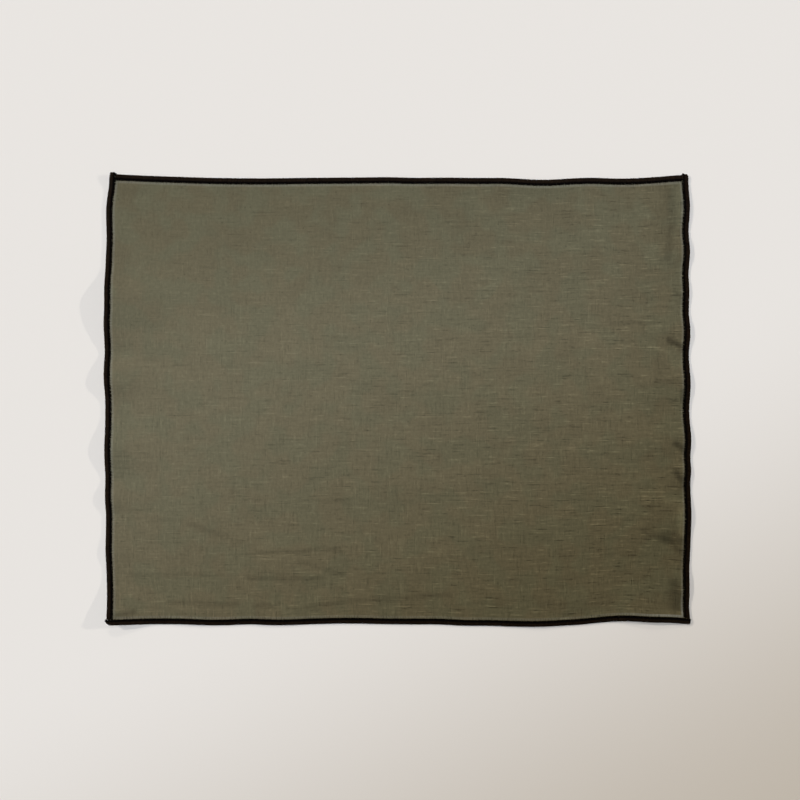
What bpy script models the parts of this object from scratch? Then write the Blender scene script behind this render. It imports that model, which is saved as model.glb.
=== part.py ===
"""Washed-linen placemat with a black stitched edging, lying flat with a rippled rim.

The mat is one layer of linen. A dense band of black thread is worked over its raw edge
in four runs, one for each side. Every piece is drawn straight and flat on a plain
rectangle, and one shared function then settles each of its points: it bows the sides,
lifts the rim where it ripples, curls the corners and raises the soft creases.
Sizes are in metres, +Z is up, and the mat rests on z = 0.
"""

import math
from typing import NamedTuple

import bmesh
import bpy
from mathutils import Vector

# The plain rectangle that the mat is drawn on, to the outer edge of its edging
HALF_WIDTH = 0.2270
HALF_DEPTH = 0.1756

# The linen: one sheet, raised at its rim onto the threads that pass under it
LINEN_THICKNESS = 0.0010
RIM_RAISE = 0.0008
RIM_RAISE_HOLD = 0.0056
RIM_RAISE_REACH = 0.0090

# The edging's section: a flattened oval, open inwards for the linen
EDGING_OVAL_WIDTH = 0.0052
EDGING_HEIGHT = 0.0026
EDGING_FLAT = 0.0001
EDGING_WALL = 0.0010
EDGING_LIP = 0.0005
EDGING_ARC_STEPS = 9
LIP_WIDTH = 0.0046
GAP = 0.0003

# How far a side's bow and a ripple's lift carry on past the edging into the mat
BOW_REACH = 0.150
RIPPLE_HOLD = 0.0050

# Where the pieces are cut into facets: rows close together at the rim, even ones between
RIM_ROWS = (0.0056, 0.0095, 0.0145, 0.0210, 0.0300)
WIDTH_PITCH = 0.0125
DEPTH_PITCH = 0.0100
END_ROWS = (0.15, 0.45, 1.0)
END_TIP_SHARE = 0.35

LINEN_COLOUR = (0.130, 0.120, 0.074)
THREAD_COLOUR = (0.0095, 0.0078, 0.0060)
LINEN_ROUGHNESS = 0.92
THREAD_ROUGHNESS = 0.62


class Bow(NamedTuple):
    """A stretch of a side that stands out from (or in from) the straight line."""

    place: float
    out: float
    reach: float


class Ripple(NamedTuple):
    """A stretch of the rim that is lifted off the table."""

    place: float
    lift: float
    reach: float
    inward: float


class Corner(NamedTuple):
    """A corner's shift from the plain rectangle, and the curl that lifts it."""

    right: int
    back: int
    shift_x: float
    shift_y: float
    lift: float
    reach: float


class Crease(NamedTuple):
    """A soft ridge left in the linen by folding and washing."""

    start: tuple
    end: tuple
    rise: float
    reach: float


class Side(NamedTuple):
    """One side of the mat. Places along it count from its left or its back corner."""

    outward: Vector
    onward: Vector
    half_across: float
    half_along: float
    bows: tuple
    ripples: tuple


class Run(NamedTuple):
    """One run of the edging, and how far its two ends go past the plain corners."""

    name: str
    side: str
    past_start: float
    past_end: float
    round_start: float
    round_end: float


CORNERS = (
    Corner(right=-1, back=1, shift_x=0.0015, shift_y=0.0001, lift=0.0034, reach=0.013),
    Corner(right=1, back=1, shift_x=-0.0003, shift_y=-0.0006, lift=0.0006, reach=0.016),
    Corner(right=1, back=-1, shift_x=0.0013, shift_y=-0.0005, lift=0.0004, reach=0.012),
    Corner(right=-1, back=-1, shift_x=0.0000, shift_y=-0.0002, lift=0.0088, reach=0.040),
)

SIDES = {
    "left": Side(
        outward=Vector((-1, 0, 0)),
        onward=Vector((0, -1, 0)),
        half_across=HALF_WIDTH,
        half_along=HALF_DEPTH,
        bows=(
            Bow(place=0.006, out=-0.0006, reach=0.024),
            Bow(place=0.024, out=0.0020, reach=0.032),
            Bow(place=0.065, out=0.0017, reach=0.070),
            Bow(place=0.105, out=0.0020, reach=0.095),
            Bow(place=0.100, out=-0.0010, reach=0.022),
            Bow(place=0.135, out=0.0017, reach=0.070),
            Bow(place=0.156, out=0.0007, reach=0.030),
            Bow(place=0.184, out=0.0005, reach=0.020),
            Bow(place=0.205, out=0.0016, reach=0.070),
            Bow(place=0.225, out=0.0012, reach=0.085),
            Bow(place=0.275, out=0.0013, reach=0.070),
            Bow(place=0.290, out=0.0006, reach=0.026),
            Bow(place=0.312, out=0.0007, reach=0.026),
        ),
        ripples=(
            Ripple(place=0.098, lift=0.0092, reach=0.028, inward=0.055),
            Ripple(place=0.121, lift=0.0045, reach=0.022, inward=0.045),
            Ripple(place=0.155, lift=0.0052, reach=0.019, inward=0.042),
            Ripple(place=0.166, lift=0.0030, reach=0.015, inward=0.036),
            Ripple(place=0.213, lift=0.0054, reach=0.027, inward=0.044),
            Ripple(place=0.252, lift=0.0036, reach=0.015, inward=0.032),
            Ripple(place=0.294, lift=0.0018, reach=0.014, inward=0.024),
        ),
    ),
    "right": Side(
        outward=Vector((1, 0, 0)),
        onward=Vector((0, -1, 0)),
        half_across=HALF_WIDTH,
        half_along=HALF_DEPTH,
        bows=(
            Bow(place=0.025, out=0.0010, reach=0.022),
            Bow(place=0.060, out=0.0008, reach=0.018),
            Bow(place=0.092, out=0.0003, reach=0.014),
            Bow(place=0.123, out=0.0008, reach=0.018),
            Bow(place=0.163, out=0.0008, reach=0.022),
            Bow(place=0.207, out=0.0012, reach=0.022),
            Bow(place=0.229, out=0.0010, reach=0.013),
            Bow(place=0.265, out=0.0010, reach=0.045),
            Bow(place=0.318, out=-0.0008, reach=0.030),
            Bow(place=0.338, out=-0.0006, reach=0.013),
        ),
        ripples=(
            Ripple(place=0.025, lift=0.0016, reach=0.020, inward=0.026),
            Ripple(place=0.059, lift=0.0026, reach=0.016, inward=0.030),
            Ripple(place=0.091, lift=0.0012, reach=0.012, inward=0.022),
            Ripple(place=0.122, lift=0.0026, reach=0.017, inward=0.032),
            Ripple(place=0.163, lift=0.0026, reach=0.019, inward=0.032),
            Ripple(place=0.207, lift=0.0022, reach=0.018, inward=0.030),
            Ripple(place=0.233, lift=0.0014, reach=0.013, inward=0.022),
            Ripple(place=0.266, lift=0.0022, reach=0.019, inward=0.030),
            Ripple(place=0.320, lift=0.0025, reach=0.018, inward=0.030),
        ),
    ),
    "back": Side(
        outward=Vector((0, 1, 0)),
        onward=Vector((1, 0, 0)),
        half_across=HALF_DEPTH,
        half_along=HALF_WIDTH,
        bows=(
            Bow(place=0.006, out=0.0004, reach=0.026),
            Bow(place=0.112, out=-0.0027, reach=0.125),
            Bow(place=0.200, out=-0.0010, reach=0.060),
            Bow(place=0.242, out=-0.0008, reach=0.030),
            Bow(place=0.290, out=-0.0020, reach=0.110),
            Bow(place=0.345, out=-0.0024, reach=0.042),
            Bow(place=0.402, out=-0.0024, reach=0.050),
            Bow(place=0.448, out=0.0004, reach=0.018),
        ),
        ripples=(
            Ripple(place=0.105, lift=0.0010, reach=0.040, inward=0.026),
            Ripple(place=0.243, lift=0.0014, reach=0.038, inward=0.030),
            Ripple(place=0.345, lift=0.0012, reach=0.028, inward=0.026),
            Ripple(place=0.412, lift=0.0010, reach=0.024, inward=0.024),
        ),
    ),
    "front": Side(
        outward=Vector((0, -1, 0)),
        onward=Vector((1, 0, 0)),
        half_across=HALF_DEPTH,
        half_along=HALF_WIDTH,
        bows=(
            Bow(place=0.085, out=0.0009, reach=0.030),
            Bow(place=0.135, out=0.0007, reach=0.028),
            Bow(place=0.188, out=-0.0006, reach=0.040),
            Bow(place=0.278, out=0.0008, reach=0.026),
            Bow(place=0.325, out=0.0018, reach=0.060),
            Bow(place=0.406, out=-0.0027, reach=0.046),
            Bow(place=0.439, out=-0.0010, reach=0.022),
        ),
        ripples=(
            Ripple(place=0.066, lift=0.0012, reach=0.022, inward=0.024),
            Ripple(place=0.126, lift=0.0008, reach=0.022, inward=0.020),
            Ripple(place=0.338, lift=0.0014, reach=0.026, inward=0.024),
            Ripple(place=0.424, lift=0.0045, reach=0.034, inward=0.040),
        ),
    ),
}

CREASES = (
    Crease(start=(-0.210, 0.043), end=(-0.070, 0.031), rise=0.0010, reach=0.016),
    Crease(start=(-0.070, 0.031), end=(0.100, -0.005), rise=0.0010, reach=0.016),
    Crease(start=(-0.060, -0.079), end=(0.062, -0.057), rise=0.0010, reach=0.016),
    Crease(start=(0.120, -0.036), end=(0.190, -0.032), rise=0.0009, reach=0.015),
    Crease(start=(-0.160, -0.160), end=(0.155, -0.154), rise=0.0008, reach=0.015),
    Crease(start=(0.022, 0.165), end=(0.022, -0.040), rise=0.0012, reach=0.018),
    Crease(start=(0.001, -0.040), end=(0.001, -0.160), rise=0.0010, reach=0.016),
)

RUNS = (
    Run("edging_top", "back", -(LIP_WIDTH + GAP), -(LIP_WIDTH + GAP), 0.0, 0.0),
    Run("edging_right", "right", 0.0006, -(LIP_WIDTH + GAP), 0.0016, 0.0),
    Run("edging_bottom", "front", 0.0007, 0.0004, 0.0020, 0.0020),
    Run("edging_left", "left", 0.0015, -(LIP_WIDTH + GAP), 0.0022, 0.0),
)


def clear_scene():
    """Takes every object out of the scene."""
    for obj in list(bpy.data.objects):
        bpy.data.objects.remove(obj, do_unlink=True)


def material(name, colour, roughness):
    """A plain cloth or thread finish."""
    made = bpy.data.materials.new(name)
    made.use_nodes = True
    made.diffuse_color = (*colour, 1.0)
    shader = made.node_tree.nodes["Principled BSDF"]
    shader.inputs["Base Color"].default_value = (*colour, 1.0)
    shader.inputs["Roughness"].default_value = roughness
    shader.inputs["Metallic"].default_value = 0.0
    return made


def swell(distance, reach):
    """1 in the middle, falling smoothly to 0 at the reach."""
    return math.cos(0.5 * math.pi * min(abs(distance) / reach, 1.0)) ** 2


def from_crease(point, crease):
    """A point's distance from a crease's line, in plan."""
    start, end = Vector(crease.start), Vector(crease.end)
    line = end - start
    share = (point.xy - start).dot(line) / line.length_squared
    return (point.xy - start - line * min(max(share, 0.0), 1.0)).length


def from_rim(point):
    """A point's distance inwards from the nearest side of the plain rectangle."""
    return min(HALF_WIDTH - abs(point.x), HALF_DEPTH - abs(point.y))


def settle(point):
    """The place that a point of the straight, flat mat takes on the finished mat."""
    settled = point.copy()
    for corner in CORNERS:
        share_x = 0.5 * (1 + corner.right * point.x / HALF_WIDTH)
        share_y = 0.5 * (1 + corner.back * point.y / HALF_DEPTH)
        settled.x += share_x * share_y * corner.shift_x
        settled.y += share_x * share_y * corner.shift_y
        tip = Vector((corner.right * HALF_WIDTH, corner.back * HALF_DEPTH))
        settled.z += corner.lift * swell((point.xy - tip).length, corner.reach)
    for side in SIDES.values():
        along = side.half_along + point.dot(side.onward)
        inward = max(side.half_across - point.dot(side.outward), 0.0)
        for bow in side.bows:
            out = bow.out * swell(along - bow.place, bow.reach)
            settled += side.outward * (out * swell(inward, BOW_REACH))
        for ripple in side.ripples:
            lift = ripple.lift * swell(along - ripple.place, ripple.reach)
            settled.z += lift * swell(max(inward - RIPPLE_HOLD, 0.0), ripple.inward)
    for crease in CREASES:
        settled.z += crease.rise * swell(from_crease(point, crease), crease.reach)
    return settled


def rows(half, pitch):
    """Places of the facet rows across the mat, from one side to the other."""
    inner = half - RIM_ROWS[-1]
    count = round(2 * inner / pitch)
    even = [-inner + 2 * inner * step / count for step in range(count + 1)]
    near = [-half + row for row in RIM_ROWS[:-1]]
    return near + even + [-place for place in reversed(near)]


def cut(mesh, place, direction):
    """Cuts every face across at a place along a direction."""
    bmesh.ops.bisect_plane(
        mesh,
        geom=mesh.verts[:] + mesh.edges[:] + mesh.faces[:],
        dist=1e-7,
        plane_co=Vector(direction) * place,
        plane_no=direction,
    )


def add_object(name, mesh, finish, parent):
    """Makes an object of a bmesh, links it to the mat's collection and frees the bmesh."""
    bmesh.ops.recalc_face_normals(mesh, faces=mesh.faces[:])
    data = bpy.data.meshes.new(name)
    mesh.to_mesh(data)
    mesh.free()
    data.materials.append(finish)
    data.shade_smooth()
    data.set_sharp_from_angle(angle=math.radians(50))
    obj = bpy.data.objects.new(name, data)
    obj.parent = parent
    parent.users_collection[0].objects.link(obj)
    return obj


def linen_panel(finish, parent):
    """The sheet of linen: cut to size, cut into facets, thickened and settled."""
    inset = EDGING_WALL + GAP
    mesh = bmesh.new()
    bmesh.ops.create_grid(mesh, x_segments=1, y_segments=1, size=1.0)
    cut_size = (HALF_WIDTH - inset, HALF_DEPTH - inset, 1.0)
    bmesh.ops.scale(mesh, vec=cut_size, verts=mesh.verts[:])
    for place in rows(HALF_WIDTH, WIDTH_PITCH):
        cut(mesh, place, (1, 0, 0))
    for place in rows(HALF_DEPTH, DEPTH_PITCH):
        cut(mesh, place, (0, 1, 0))
    raised = bmesh.ops.extrude_face_region(mesh, geom=mesh.faces[:])["geom"]
    top = [item for item in raised if isinstance(item, bmesh.types.BMVert)]
    bmesh.ops.translate(mesh, vec=(0, 0, LINEN_THICKNESS), verts=top)
    for vert in mesh.verts:
        past_edging = max(from_rim(vert.co) - RIM_RAISE_HOLD, 0.0)
        rim_raise = RIM_RAISE * swell(past_edging, RIM_RAISE_REACH)
        vert.co = settle(vert.co) + Vector((0, 0, rim_raise))
    return add_object("linen_panel", mesh, finish, parent)


def edging_section():
    """The edging's section as (inward, up) points, round the oval and along the slot."""
    half_width = 0.5 * EDGING_OVAL_WIDTH
    half_height = 0.5 * EDGING_HEIGHT + EDGING_FLAT
    middle = EDGING_HEIGHT - half_height
    slot_low = EDGING_LIP
    slot_high = EDGING_LIP + LINEN_THICKNESS + 2 * GAP
    low_turn = math.asin((slot_low - middle) / half_height)
    high_turn = math.asin((slot_high - middle) / half_height)
    sweep = 2 * math.pi - high_turn + low_turn
    points = []
    for step in range(EDGING_ARC_STEPS + 1):
        turn = high_turn + sweep * step / EDGING_ARC_STEPS
        inward = half_width * (1 + math.cos(turn))
        points.append((inward, max(middle + half_height * math.sin(turn), 0.0)))
    return points + [(EDGING_WALL, slot_low), (EDGING_WALL, slot_high)]


def round_end(mesh, side, tip, length, sense):
    """Draws the last stretch of a straight run in towards the oval's middle."""
    middle = side.outward * (side.half_across - 0.5 * EDGING_OVAL_WIDTH)
    middle += Vector((0, 0, 0.5 * EDGING_HEIGHT))
    for vert in mesh.verts:
        from_tip = sense * (vert.co.dot(side.onward) - tip)
        if from_tip >= length:
            continue
        share = math.sqrt(1 - (1 - max(from_tip, 0.0) / length) ** 2)
        share = END_TIP_SHARE + (1 - END_TIP_SHARE) * share
        centre = middle + side.onward * vert.co.dot(side.onward)
        vert.co = centre + (vert.co - centre) * share


def edging_run(run, finish, parent):
    """One run of the edging, drawn straight along its side and then settled."""
    side = SIDES[run.side]
    first = -(side.half_along + run.past_start)
    last = side.half_along + run.past_end
    pitch = WIDTH_PITCH if side.half_along == HALF_WIDTH else DEPTH_PITCH
    mesh = bmesh.new()
    section = [
        side.outward * (side.half_across - inward) + Vector((0, 0, up)) + side.onward * first
        for inward, up in edging_section()
    ]
    face = mesh.faces.new([mesh.verts.new(point) for point in section])
    drawn = bmesh.ops.extrude_face_region(mesh, geom=[face], use_keep_orig=True)["geom"]
    far = [item for item in drawn if isinstance(item, bmesh.types.BMVert)]
    bmesh.ops.translate(mesh, vec=side.onward * (last - first), verts=far)
    for place in rows(side.half_along, pitch):
        if first < place < last:
            cut(mesh, place, side.onward)
    for tip, length, sense in ((first, run.round_start, 1), (last, run.round_end, -1)):
        if length:
            for share in END_ROWS:
                cut(mesh, tip + sense * share * length, side.onward)
            round_end(mesh, side, tip, length, sense)
    for vert in mesh.verts:
        vert.co = settle(vert.co)
    return add_object(run.name, mesh, finish, parent)


def main():
    """Builds the placemat."""
    clear_scene()
    collection = bpy.data.collections.new("placemat")
    bpy.context.scene.collection.children.link(collection)
    centre = bpy.data.objects.new("mat_centre", None)
    collection.objects.link(centre)
    linen = material("linen", LINEN_COLOUR, LINEN_ROUGHNESS)
    thread = material("edging_thread", THREAD_COLOUR, THREAD_ROUGHNESS)
    linen_panel(linen, centre)
    for run in RUNS:
        edging_run(run, thread, centre)


main()
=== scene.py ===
"""Looks of a washed-linen placemat with a black stitched edging, lying on a pale floor.

The mat is one thin sheet of linen. Dense stitches of black thread are worked over its raw
edge in four runs, one for each side. The linen and the runs are drawn straight and flat on
a plain rectangle, and one shared shape then settles them: it bows the sides, lifts the rim
where it ripples, curls the corners and creases the cloth. Lengths are in metres, +Z is up,
and a place on the plain rectangle is also the place that the patterns on the linen read.
"""

from __future__ import annotations

import logging
import math
from dataclasses import dataclass
from enum import Enum

import bmesh
import bpy
import numpy as np
from bpy.types import Material, Mesh, Object
from bpy.types import NodeSocket as Socket
from mathutils import Matrix, Vector

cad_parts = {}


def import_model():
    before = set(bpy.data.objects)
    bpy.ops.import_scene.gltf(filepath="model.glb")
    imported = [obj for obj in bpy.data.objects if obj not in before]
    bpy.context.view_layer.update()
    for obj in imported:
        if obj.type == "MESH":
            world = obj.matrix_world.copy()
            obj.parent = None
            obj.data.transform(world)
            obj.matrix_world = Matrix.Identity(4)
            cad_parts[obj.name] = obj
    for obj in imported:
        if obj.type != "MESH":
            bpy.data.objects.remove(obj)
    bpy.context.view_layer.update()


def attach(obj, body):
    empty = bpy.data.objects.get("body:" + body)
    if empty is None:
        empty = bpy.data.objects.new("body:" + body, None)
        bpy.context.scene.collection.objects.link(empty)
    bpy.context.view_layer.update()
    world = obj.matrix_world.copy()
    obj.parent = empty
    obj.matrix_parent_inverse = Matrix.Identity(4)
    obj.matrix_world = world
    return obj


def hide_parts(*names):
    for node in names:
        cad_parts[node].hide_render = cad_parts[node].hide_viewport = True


LOG = logging.getLogger("placemat")
BODY = "root"

# The plain rectangle, to the outer edge of the edging
HALF_WIDTH = 0.2270
HALF_DEPTH = 0.1756
WIDTH = 2 * HALF_WIDTH
DEPTH = 2 * HALF_DEPTH

# The direction, seen from above, in which the light falls off
FALL = (0.4556, -0.8903)
LAMP_COLOUR = (1.092, 1.017, 0.897)


def swell(distance: np.ndarray, reach: float) -> np.ndarray:
    """Gives 1 where the distance is 0, falling smoothly to 0 at the reach."""
    return np.cos(0.5 * np.pi * np.minimum(np.abs(distance) / reach, 1.0)) ** 2


# The settled shape


@dataclass(frozen=True)
class Bow:
    """A stretch of a side that stands out from (or in from) the straight line."""

    place: float
    out: float
    reach: float


@dataclass(frozen=True)
class Ripple:
    """A stretch of the rim that is lifted off the table."""

    place: float
    lift: float
    reach: float
    inward: float


@dataclass(frozen=True)
class Corner:
    """A corner's shift from the plain rectangle, and the curl that lifts it."""

    right: int
    back: int
    shift_x: float
    shift_y: float
    lift: float
    reach: float


@dataclass(frozen=True)
class Fold:
    """A broad, soft ridge along a bent line, left where the mat was folded."""

    points: tuple[tuple[float, float], ...]
    rise: float
    reach: float

    @classmethod
    def from_row(cls, rise: float, *lengths: float) -> Fold:
        """Makes one from its rise, then its reach and its points' x and y in millimetres."""
        reach, *places = (length / 1000 for length in lengths)
        return cls(tuple(zip(places[::2], places[1::2])), rise, reach)

    def share(self, plan: np.ndarray) -> np.ndarray:
        """Works out how near each point lies to the line.

        Args:
            plan: The points' places on the plain rectangle, one row each.

        Returns:
            1 on the line, falling smoothly to 0 at the reach.
        """
        nearest = np.full(len(plan), np.inf)
        for start, end in zip(self.points, self.points[1:]):
            first = np.array(start)
            line = np.array(end) - first
            along = np.clip((plan - first) @ line / (line @ line), 0.0, 1.0)
            nearest = np.minimum(nearest, np.hypot(*(plan - first - along[:, None] * line).T))
        return swell(nearest, self.reach)


class ShadedCrease(Fold):
    """A fine crease, with painted shade in its trough and a painted highlight on its ridge.

    Its rise is the change of tone, and the cloth rises or sinks in step with it.
    """


@dataclass(frozen=True)
class Side:
    """One side of the mat. Places along it count from its left or its back corner."""

    outward: tuple[float, float]
    onward: tuple[float, float]
    half_across: float
    half_along: float
    bows: tuple[Bow, ...]
    ripples: tuple[Ripple, ...]

    @property
    def turn(self) -> int:
        """1 where onward runs clockwise round the mat, -1 where it runs the other way."""
        return round(self.onward[0] * self.outward[1] - self.onward[1] * self.outward[0])

    def on_plain(self, local: np.ndarray) -> np.ndarray:
        """Puts points given as (along, inward, up) onto the plain rectangle.

        Args:
            local: Rows of along from the side's middle, inward from its outer edge, and up.

        Returns:
            The same points as rows of x, y and z.
        """
        across = self.half_across - local[:, 1:2]
        plan = local[:, 0:1] * np.array(self.onward) + across * np.array(self.outward)
        return np.hstack([plan, local[:, 2:3]])


def rows_in_mm(kind: type, *rows: tuple[float, ...]) -> tuple:
    """Makes one item of a kind from each row, whose values are in millimetres."""
    return tuple(kind(*(value / 1000 for value in row)) for row in rows)


# Bows give their place, out and reach. Ripples give their place, lift, reach and inward.
LEFT = Side(
    outward=(-1.0, 0.0),
    onward=(0.0, -1.0),
    half_across=HALF_WIDTH,
    half_along=HALF_DEPTH,
    bows=rows_in_mm(
        Bow,
        (6, -0.6, 24), (24, 2, 32), (65, 1.7, 70), (105, 2, 95), (100, -1, 22), (135, 1.7, 70),
        (156, 0.7, 30), (184, 0.5, 20), (205, 1.6, 70), (225, 1.2, 85), (275, 1.3, 70),
        (290, 0.6, 26), (312, 0.7, 26),
    ),
    ripples=rows_in_mm(
        Ripple,
        (98, 9.2, 28, 55), (121, 4.5, 22, 45), (155, 5.2, 19, 42), (166, 3, 15, 36),
        (213, 5.4, 27, 44), (252, 3.6, 15, 32), (294, 1.8, 14, 24),
    ),
)

RIGHT = Side(
    outward=(1.0, 0.0),
    onward=(0.0, -1.0),
    half_across=HALF_WIDTH,
    half_along=HALF_DEPTH,
    bows=rows_in_mm(
        Bow,
        (25, 1, 22), (60, 0.8, 18), (92, 0.3, 14), (123, 0.8, 18), (163, 0.8, 22), (207, 1.2, 22),
        (229, 1, 13), (265, 1, 45), (318, -0.8, 30), (338, -0.6, 13),
    ),
    ripples=rows_in_mm(
        Ripple,
        (25, 1.6, 20, 26), (59, 2.6, 16, 30), (91, 1.2, 12, 22), (122, 2.6, 17, 32),
        (163, 2.6, 19, 32), (207, 2.2, 18, 30), (233, 1.4, 13, 22), (266, 2.2, 19, 30),
        (320, 2.5, 18, 30),
    ),
)

BACK = Side(
    outward=(0.0, 1.0),
    onward=(1.0, 0.0),
    half_across=HALF_DEPTH,
    half_along=HALF_WIDTH,
    bows=rows_in_mm(
        Bow,
        (6, 0.4, 26), (112, -2.7, 125), (200, -1, 60), (242, -0.8, 30), (290, -2, 110),
        (345, -2.4, 42), (402, -2.4, 50), (448, 0.4, 18),
    ),
    ripples=rows_in_mm(
        Ripple,
        (105, 1, 40, 26), (243, 1.4, 38, 30), (345, 1.2, 28, 26), (412, 1, 24, 24),
    ),
)

FRONT = Side(
    outward=(0.0, -1.0),
    onward=(1.0, 0.0),
    half_across=HALF_DEPTH,
    half_along=HALF_WIDTH,
    bows=rows_in_mm(
        Bow,
        (85, 0.9, 30), (135, 0.7, 28), (188, -0.6, 40), (278, 0.8, 26), (325, 1.8, 60),
        (406, -2.7, 46), (439, -1, 22),
    ),
    ripples=rows_in_mm(
        Ripple,
        (66, 1.2, 22, 24), (126, 0.8, 22, 20), (338, 1.4, 26, 24), (424, 4.5, 34, 40),
    ),
)


# The broad folds. Each row gives the rise in metres, then the reach and the x and y of each
# point in millimetres.
FOLD_ROWS = (
    (0.001, 16, -210, 43, -70, 31, 22, 7, 100, -5), (0.001, 16, -60, -79, -6, -70, 62, -57),
    (0.0009, 15, 120, -36, 139, -44, 190, -32),
    (0.0008, 15, -182, -161, -96, -165, 41, -157, 158, -154), (0.0012, 18, 22, 165, 22, -40),
    (0.001, 16, 1, -40, 1, -160),
)


@dataclass(frozen=True)
class MatShape:
    """The shape that the whole mat has settled into on the table."""

    bow_reach: float = 0.150
    ripple_hold: float = 0.0050
    corners: tuple[Corner, ...] = (
        Corner(right=-1, back=1, shift_x=0.0015, shift_y=0.0001, lift=0.0034, reach=0.013),
        Corner(right=1, back=1, shift_x=-0.0003, shift_y=-0.0006, lift=0.0006, reach=0.016),
        Corner(right=1, back=-1, shift_x=0.0013, shift_y=-0.0005, lift=0.0004, reach=0.012),
        Corner(right=-1, back=-1, shift_x=0.0, shift_y=-0.0002, lift=0.0088, reach=0.040),
    )
    sides: tuple[Side, ...] = (LEFT, RIGHT, BACK, FRONT)
    folds: tuple[Fold, ...] = tuple(Fold.from_row(*row) for row in FOLD_ROWS)

    def settle(self, points: np.ndarray) -> np.ndarray:
        """Moves points of the straight, flat mat to their places on the settled mat.

        Args:
            points: Rows of x, y and z on the plain rectangle.

        Returns:
            Rows of x, y and z on the settled mat.
        """
        settled = points.copy()
        plan = points[:, :2]
        for corner in self.corners:
            tip = np.array((corner.right * HALF_WIDTH, corner.back * HALF_DEPTH))
            share = (0.5 + 0.5 * plan[:, 0] / tip[0]) * (0.5 + 0.5 * plan[:, 1] / tip[1])
            settled[:, 0] += share * corner.shift_x
            settled[:, 1] += share * corner.shift_y
            settled[:, 2] += corner.lift * swell(np.hypot(*(plan - tip).T), corner.reach)
        for side in self.sides:
            outward = np.array(side.outward)
            along = side.half_along + plan @ np.array(side.onward)
            inward = np.maximum(side.half_across - plan @ outward, 0.0)
            fade = swell(inward, self.bow_reach)
            for bow in side.bows:
                out = bow.out * swell(along - bow.place, bow.reach) * fade
                settled[:, :2] += out[:, None] * outward
            past_rim = np.maximum(inward - self.ripple_hold, 0.0)
            for ripple in side.ripples:
                lift = ripple.lift * swell(along - ripple.place, ripple.reach)
                settled[:, 2] += lift * swell(past_rim, ripple.inward)
        for fold in self.folds:
            settled[:, 2] += fold.rise * fold.share(plan)
        return settled


# Finishes


class Recipe:
    """A node material in the making, with one short call for each kind of node."""

    def __init__(self, name: str) -> None:
        """Starts a material with a Principled shader.

        Args:
            name: The material's name.
        """
        self.material = bpy.data.materials.new(name)
        self.material.use_nodes = True
        self.tree = self.material.node_tree
        self.shader = self.tree.nodes["Principled BSDF"]

    def join(self, socket: Socket, value: Socket | float | tuple) -> None:
        """Links a socket to another one, or sets its value."""
        if isinstance(value, Socket):
            self.tree.links.new(value, socket)
        else:
            socket.default_value = value

    def node(self, kind: str, *inputs: object, **settings: object) -> bpy.types.Node:
        """Adds a node.

        Args:
            kind: The node's type name.
            inputs: Values or sockets for the node's enabled inputs, in order.
            settings: The node's own settings.

        Returns:
            The new node.
        """
        made = self.tree.nodes.new(kind)
        for key, value in settings.items():
            setattr(made, key, value)
        sockets = [socket for socket in made.inputs if socket.enabled]
        for socket, value in zip(sockets, inputs):
            self.join(socket, value)
        return made

    def math(self, operation: str, *values: object) -> Socket:
        """Adds a Math node and gives its result."""
        return self.node("ShaderNodeMath", *values, operation=operation).outputs[0]

    def times(self, first: object, second: object) -> Socket:
        """Multiplies two numbers."""
        return self.math("MULTIPLY", first, second)

    def line(self, value: object, slope: object, start: object) -> Socket:
        """Gives the start, plus the slope times the value."""
        return self.math("MULTIPLY_ADD", value, slope, start)

    def remap(
        self, value: Socket, low: float, high: float, to_low: float = 0.0, to_high: float = 1.0
    ) -> Socket:
        """Maps low to to_low and high to to_high, smoothly, and stays level past both."""
        limits = (low, high, to_low, to_high)
        kind = "ShaderNodeMapRange"
        return self.node(kind, value, *limits, interpolation_type="SMOOTHSTEP").outputs[0]

    def band(self, value: Socket, rise: tuple, fall: tuple) -> Socket:
        """Gives 1 from the end of the rise to the start of the fall, and 0 outside both."""
        return self.times(self.remap(value, *rise), self.remap(value, *fall, 1.0, 0.0))

    def noise(self, vector: Socket, scale: float, detail: float, roughness: float) -> Socket:
        """Adds a flat noise, by its lumps on a unit, its finer layers and their strength."""
        form = (vector, scale, detail, roughness)
        return self.node("ShaderNodeTexNoise", *form, noise_dimensions="2D").outputs["Fac"]

    def blend(self, share: object, first: object, second: object) -> Socket:
        """Mixes two colours by a share, from the first to the second."""
        made = self.node("ShaderNodeMix", share, first, second, data_type="RGBA")
        return made.outputs["Result"]

    def attribute(self, name: str) -> Socket:
        """Reads a number that the mesh holds at each point."""
        return self.node("ShaderNodeAttribute", attribute_name=name).outputs["Fac"]

    def read_map(self) -> tuple[Socket, Socket, Socket]:
        """Reads the mesh's UV map, as a vector and as its two numbers."""
        uv = self.node("ShaderNodeUVMap", uv_map="UVMap").outputs[0]
        split = self.node("ShaderNodeSeparateXYZ", uv)
        return uv, split.outputs[0], split.outputs[1]

    def paint(self, colour: Socket, tone: Socket) -> None:
        """Gives the shader a colour that is lightened or darkened by a tone."""
        shaded = self.node("ShaderNodeVectorMath", colour, operation="SCALE")
        self.join(shaded.inputs["Scale"], tone)
        self.join(self.shader.inputs["Base Color"], shaded.outputs[0])

    def emboss(self, height: Socket, depth: float) -> None:
        """Raises the surface by a pattern's height.

        Args:
            height: The pattern.
            depth: How high 1 stands in it, in metres.
        """
        bump = self.node("ShaderNodeBump")
        bump.inputs["Strength"].default_value = 1.0
        bump.inputs["Distance"].default_value = depth
        self.join(bump.inputs["Height"], height)
        self.join(self.shader.inputs["Normal"], bump.outputs[0])

    def finish(self, plain_values: dict[str, object]) -> Material:
        """Sets what is the same all over the surface.

        Args:
            plain_values: The value of each of the shader's own sockets, by its name.

        Returns:
            The finished material.
        """
        for name, value in plain_values.items():
            self.shader.inputs[name].default_value = value
        return self.material


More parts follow.
